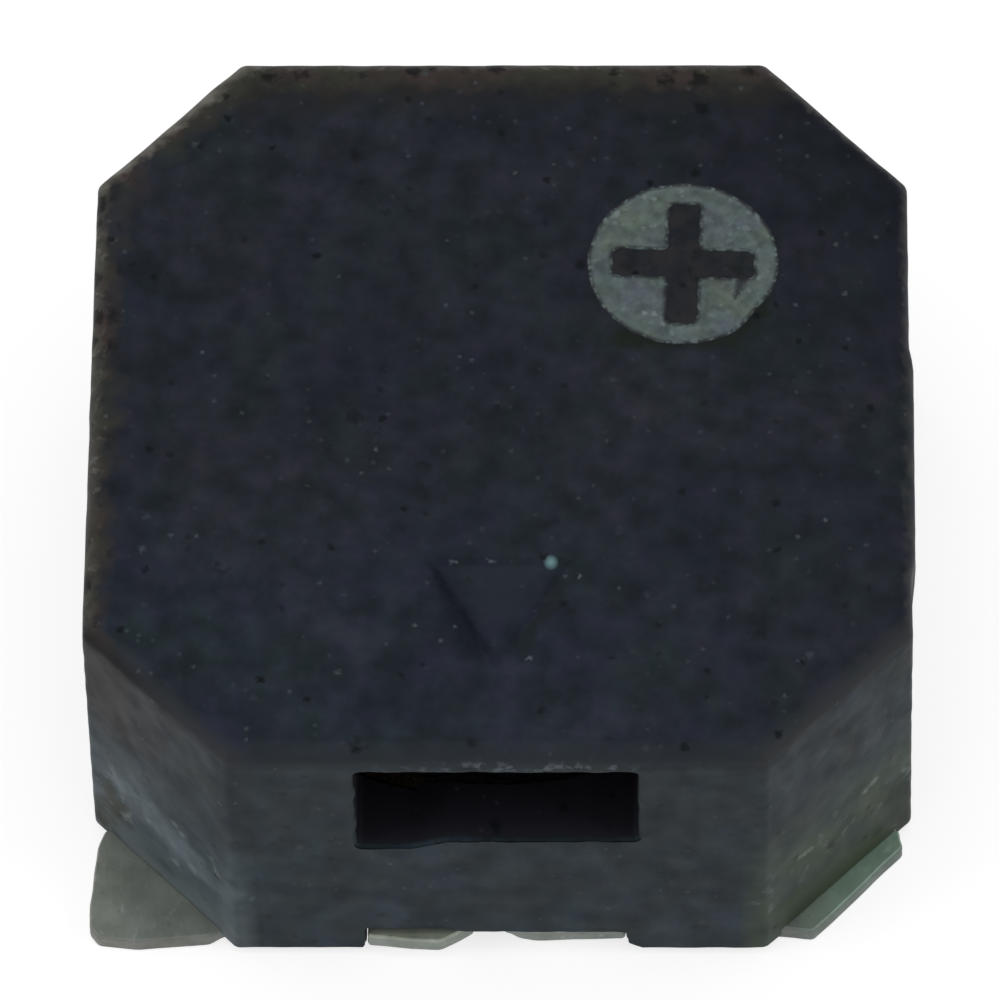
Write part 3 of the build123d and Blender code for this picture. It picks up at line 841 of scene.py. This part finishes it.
def arrow_shade_and_wear(tree, place, colour):
    """The sunk arrow: painted shade along its slanting sides, a lighter bluish floor, pale grains, a pale
    scratch, and a bright fleck at its rear.
    """
    ragged = unsettled(tree, place, 0.10)
    middle = spot(tree, ragged, (0.02, -2.22, 3.95), 0.25, 0.50)
    lighter_floor = steps(tree, both(tree, middle, fade(tree, place, "Z", 3.97, 3.94)), [(0.0, 0.0), (1.0, 0.7)])
    colour = laid_over(tree, lighter_floor, colour, (0.0250, 0.0305, 0.0440))
    # Painted shade: the slanting sides of the recess are painted darker, most along the left and lower
    # left.
    left = stroke(tree, ragged, (-0.60, -2.12, 3.97), (-0.42, -2.52, 3.97), 0.02, 0.15)
    lower = stroke(tree, ragged, (-0.42, -2.52, 3.97), (-0.24, -2.94, 3.97), 0.07, 0.23)
    right = stroke(tree, ragged, (0.62, -2.26, 3.97), (0.27, -2.88, 3.97), 0.01, 0.13)
    colour = laid_over(tree, either(tree, left, lower), colour, (0.0070, 0.0092, 0.0185))
    colour = laid_over(tree, right, colour, (0.0125, 0.0175, 0.0205))
    grains = [(-0.47, -1.92, 0.05), (-0.07, -1.90, 0.04), (-0.10, -2.09, 0.035), (0.86, -2.08, 0.04)]
    grains.append((0.32, -3.05, 0.045))
    for x, y, reach in grains:
        pale = spot(tree, ragged, (x, y, 3.98), 0.01, reach)
        colour = laid_over(tree, pale, colour, (0.120, 0.145, 0.160))
    scratch = stroke(tree, place, (0.08, -1.98, 3.97), (0.14, -1.90, 3.99), 0.008, 0.025)
    colour = laid_over(tree, scratch, colour, (0.150, 0.155, 0.140))
    fleck = spot(tree, place, (0.545, -1.915, 3.985), 0.025, 0.085)
    return laid_over(tree, fleck, colour, (0.24, 0.42, 0.44))


def mark_surround(tree, place, colour):
    """Round the polarity mark: a brownish cast inside the plus, and an olive shade before the mark."""
    centre = (*MARK, 4.0)
    ragged = unsettled(tree, place, 0.12)
    within = spot(tree, place, centre, 0.80, 0.90)
    inside = both(tree, within, steps(tree, grain(tree, place, 0.3), [(0.40, 0.2), (0.6, 0.85)]))
    colour = laid_over(tree, inside, colour, (0.0330, 0.0285, 0.0295))
    dark = steps(tree, grain(tree, place, 0.16, 3), [(0.55, 0.0), (0.66, 0.8)])
    colour = laid_over(tree, both(tree, within, dark), colour, (0.0110, 0.0120, 0.0115))
    front = either(
        tree,
        stroke(tree, ragged, (2.70, 1.20, 4.0), (2.40, 0.80, 4.0), 0.05, 0.22),
        stroke(tree, ragged, (2.40, 0.80, 4.0), (1.30, 0.80, 4.0), 0.05, 0.20),
    )
    return laid_over(tree, front, colour, (0.0120, 0.0160, 0.0105))


def case_finish():
    """Dark blue-grey moulded plastic: cloudy, with greener walls, painted light low on the front wall,
    stained rims with painted highlights, painted light and scuffs on the front corners, painted shade in
    the arrow and the port, a chipped port, and pits.
    """
    material, tree, shader, place = new_finish("case_blue_grey")
    shader.inputs["Specular IOR Level"].default_value = 0.235
    shader.inputs["Specular Tint"].default_value = (0.78, 0.97, 1.0, 1)
    colour = moulded_colour(tree, place)
    walls = fade(tree, place, "Z", 3.86, 3.80)
    greener = steps(tree, walls, [(0.0, 0.0), (1.0, 0.7)])
    colour = laid_over(tree, greener, colour, (0.0142, 0.0240, 0.0305))
    blotches = grain(tree, place, 0.40, 3, (1, 1, 1.5))
    mottle = steps(tree, blotches, [(0.34, 0.45), (0.52, 0.85), (0.68, 1.60)])
    colour = laid_over(tree, walls, colour, mottle, "MULTIPLY")
    # Painted light: the lower part of the front wall is painted lighter and bluer.
    lower_front = both(tree, across(tree, place, 0, -1, 4.18, 4.23), fade(tree, place, "Z", 2.9, 1.8))
    colour = laid_over(tree, lower_front, colour, (1.14, 1.23, 1.27), "MULTIPLY")
    for wear in (mark_surround, arrow_shade_and_wear, rims_stain_and_highlights, corner_light_and_scuffs, port_wear_and_shade, dust_and_pits):
        colour = wear(tree, place, colour)
    roughness = steps(tree, grain(tree, place, 0.3, 4), [(0.3, 0.52), (0.7, 0.66)])
    surfaced(tree, shader, colour, roughness, grain(tree, place, 0.16, 4), 0.004)
    return material


case.data.materials.clear()
case.data.materials.append(case_finish())
case.data.shade_smooth()
case.data.set_sharp_from_angle(angle=math.radians(35))
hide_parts("case")
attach(case, "root")


# Polarity mark
# A round frosted field with a plain plus left dark, marked into the top at the rear right. It is a skin of
# the case's own plastic, roughened as it is marked.

MARK_RADIUS = 1.0
MARK_TOP = 3.9995
MARK_UNDER = 3.98
PLUS_HALF = 0.73
PLUS_ARM = 0.155


def plus_run(half, arm):
    """The edge of the plus: its twelve corners joined at even steps, worn round and turned a little."""
    quarter = np.array([(half, arm), (arm, arm), (arm, half)])
    corners = [quarter]
    for _ in range(3):
        corners.append(corners[-1] @ np.array([[0, 1], [-1, 0]]))
    run = worn_run(even_run(np.vstack(corners), 0.012), 6)
    wear = ripple(at_height(run, 0.0), 0.20, 33) * 0.013
    run += edge_ways(run) * wear[:, None]
    lean = math.radians(-1.6)
    return run @ np.array([[math.cos(lean), math.sin(lean)], [-math.sin(lean), math.cos(lean)]])


def mark_piece():
    """A thin plate between a plus and a circle, in rings from the plus to the rim on top, and back below.

    The rim's points lie at even angles, at MARK_RADIUS * (1 - dip * exp(-(turned / width)^2)) and a ripple,
    where turned is the angle from the flat place at the front right. Each point's distance in millimetres
    from the nearer edge is kept as the attribute inward.
    """
    inner = plus_run(PLUS_HALF, PLUS_ARM)
    count = len(inner)
    angles = math.atan2(*inner[0][::-1]) + 2 * math.pi * np.arange(count) / count
    dip, width = 0.048, 0.26
    turned = (angles + math.radians(36) + math.pi) % (2 * math.pi) - math.pi
    radius = MARK_RADIUS * (1 - dip * np.exp(-(turned / width) ** 2))
    outer = np.stack([np.cos(angles), np.sin(angles)], 1) * radius[:, None]
    wear = ripple(at_height(outer, 0.0), 0.30, 31) * 0.008
    outer = outer * (1 + wear)[:, None]
    shares = (0, 0.03, 0.08, 0.16, 0.3, 0.5, 0.7, 0.84, 0.92, 0.97, 1)
    rings = [at_height(inner * (1 - share) + outer * share + MARK, MARK_TOP) for share in shares]
    rings += [at_height(outer * (1 - share) + inner * share + MARK, MARK_UNDER) for share in (0, 1)]
    faces = grid_faces(len(rings), count).tolist()
    first = np.arange(count)
    last = first + (len(rings) - 1) * count
    faces += np.stack([last, np.roll(last, -1), np.roll(first, -1), first], 1).tolist()
    piece = mesh_piece("polarity_mark", np.vstack(rings), faces)
    apart = (np.vstack(rings)[:, :2] - MARK)[:, None] - np.vstack([inner, outer])[None]
    inward = piece.data.attributes.new("inward", "FLOAT", "POINT")
    inward.data.foreach_set("value", np.linalg.norm(apart, axis=2).min(1))
    face_outward(piece)
    return piece


def mark_finish():
    """Frosted plastic: pale patches, bright grains and a paler rim, fading at its ragged edges."""
    material, tree, shader, place = new_finish("frosted_mark")
    shades = [(0.36, (0.128, 0.158, 0.178)), (0.50, (0.133, 0.172, 0.170)), (0.64, (0.142, 0.184, 0.158))]
    patches = steps(tree, grain(tree, place, 0.5, 3), shades)
    colour = laid_over(tree, 1.0, patches, tinged(tree, place, 0.2, 0.14), "MULTIPLY")
    blotches = steps(tree, grain(tree, place, 0.12, 4), [(0.30, 0.72), (0.50, 1.0), (0.70, 1.30)])
    colour = laid_over(tree, 1.0, colour, blotches, "MULTIPLY")
    bright = either(tree, specks(tree, place, 0.10, 0.040, 0.35), specks(tree, place, 0.20, 0.060, 0.4))
    colour = laid_over(tree, bright, colour, (0.27, 0.33, 0.33))
    centre = (*MARK, 4.0)
    rim = both(tree, spot(tree, place, centre, 0.99, 1.0), spot(tree, place, centre, 0.97, 0.91))
    glints = steps(tree, grain(tree, place, 0.16, 4), [(0.48, 0.05), (0.62, 0.6)])
    colour = laid_over(tree, both(tree, rim, glints), colour, (0.22, 0.27, 0.27))
    ragged = unsettled(tree, place, 0.05)
    nick = either(
        tree,
        stroke(tree, ragged, (2.53, 1.56, 4.0), (2.49, 1.43, 4.0), 0.03, 0.08),
        stroke(tree, ragged, (2.49, 1.43, 4.0), (2.45, 1.30, 4.0), 0.01, 0.05),
    )
    colour = laid_over(tree, nick, colour, (0.050, 0.058, 0.066))
    inward = tree.nodes.new("ShaderNodeAttribute")
    inward.attribute_name = "inward"
    sure = steps(tree, inward.outputs["Fac"], [(0.015, 0.0), (0.060, 1.0)])
    partly = steps(tree, inward.outputs["Fac"], [(0.0, 0.0), (0.020, 1.0)])
    crumbs = steps(tree, grain(tree, place, 0.08, 4), [(0.46, 0.0), (0.60, 1.0)])
    frosted = either(tree, sure, both(tree, partly, crumbs))
    colour = laid_over(tree, frosted, (0.027, 0.029, 0.036), colour)
    shader.inputs["Specular IOR Level"].default_value = 0.3
    surfaced(tree, shader, colour, 0.8, grain(tree, place, 0.09, 4), 0.006)
    return material


mark = mark_piece()
mark.data.materials.append(mark_finish())
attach(mark, "root")


# Floor
# A wide sheet of white paper that the part stands on, a hair below the pads so that no faces coincide. It
# shows as white in the picture and in reflections, and keeps the part's shadow.

PAPER = -0.003
PAPER_REACH = 400


def paper_finish():
    """White paper: matt white, with a little light of its own where the camera or a gloss sees it."""
    material, tree, shader, _ = new_finish("white_paper")
    tree.nodes.remove(shader)
    plain = tree.nodes.new("ShaderNodeBsdfDiffuse")
    plain.inputs["Color"].default_value = (0.65, 0.65, 0.65, 1)
    path = tree.nodes.new("ShaderNodeLightPath").outputs
    gloss = reckoned(tree, "MAXIMUM", path["Is Glossy Ray"], path["Is Transmission Ray"], kind="Math")
    seen = reckoned(tree, "MAXIMUM", path["Is Camera Ray"], gloss.outputs[0], kind="Math")
    strength = reckoned(tree, "MULTIPLY", seen.outputs[0], 0.72, kind="Math")
    lift = tree.nodes.new("ShaderNodeEmission")
    tree.links.new(strength.outputs[0], lift.inputs["Strength"])
    paper = tree.nodes.new("ShaderNodeAddShader")
    tree.links.new(plain.outputs[0], paper.inputs[0])
    tree.links.new(lift.outputs[0], paper.inputs[1])
    tree.links.new(paper.outputs[0], tree.nodes["Material Output"].inputs["Surface"])
    return material


corners = np.array([(-1, -1), (1, -1), (1, 1), (-1, 1)]) * PAPER_REACH
floor = mesh_piece("floor", at_height(corners, PAPER), [(0, 1, 2, 3)])
floor.data.materials.append(paper_finish())


# Light
# Plain soft light: an even glow from all round, and three wide square lamps, at the left, at the right and
# overhead.

world = bpy.data.worlds.new("room")
bpy.context.scene.world = world
world.use_nodes = True
room = world.node_tree
sky = room.nodes["Background"]
sky.inputs["Color"].default_value = (1, 1, 1, 1)
sky.inputs["Strength"].default_value = 0.28


def lamp(name, place, size, power):
    """A square soft lamp at a place in millimetres, aimed at the middle of the body."""
    light = bpy.data.lights.new(name, "AREA")
    light.size = size * MM
    light.energy = power
    source = bpy.data.objects.new(name, light)
    bpy.context.scene.collection.objects.link(source)
    source.location = np.array(place) * MM
    back = np.array(place, float) - (0, 0, 2)
    back /= np.linalg.norm(back)
    source.rotation_euler = (math.acos(back[2]), 0, math.atan2(back[0], -back[1]))


lamp("lamp_left", (-75, -22, 50), size=45, power=0.012)
lamp("lamp_right", (75, -22, 50), size=45, power=0.012)
lamp("lamp_over", (0, 10, 90), size=60, power=0.012)


# Camera
# A long lens, in front of the port and well above it, a little to the right. Its focal length and its shift
# are in pixels of a picture 1000 pixels wide, its place in millimetres and its angles in degrees.

PICTURE = 1000
SENSOR = 36
FOCAL = 10505.5
SHIFT = (-2.23, 3.46)
RISE = 58.620
TURN = 1.928
ROLL = -1.653
DISTANCE = 110.363
AIM = (0, 0, 2.0)

view = bpy.data.cameras.new("view")
camera = bpy.data.objects.new("view", view)
bpy.context.scene.collection.objects.link(camera)
bpy.context.scene.camera = camera
view.sensor_width = SENSOR
view.lens = SENSOR * FOCAL / PICTURE
view.shift_x = SHIFT[0] / PICTURE
view.shift_y = SHIFT[1] / PICTURE
view.clip_start = 0.01
view.clip_end = 5
rise, turn, roll = np.radians((RISE, TURN, ROLL))
back = np.array([math.sin(turn) * math.cos(rise), -math.cos(turn) * math.cos(rise), math.sin(rise)])
right = np.array([math.cos(turn), math.sin(turn), 0.0])
up = np.cross(back, right)
level = right * math.cos(roll) + up * math.sin(roll)
upright = up * math.cos(roll) - right * math.sin(roll)
place = (np.array(AIM) + DISTANCE * back) * MM
matrix = np.eye(4)
matrix[:3] = np.column_stack([level, upright, back, place])
camera.matrix_world = Matrix(matrix.tolist())

bpy.context.scene.view_settings.view_transform = "Standard"
bpy.context.view_layer.update()
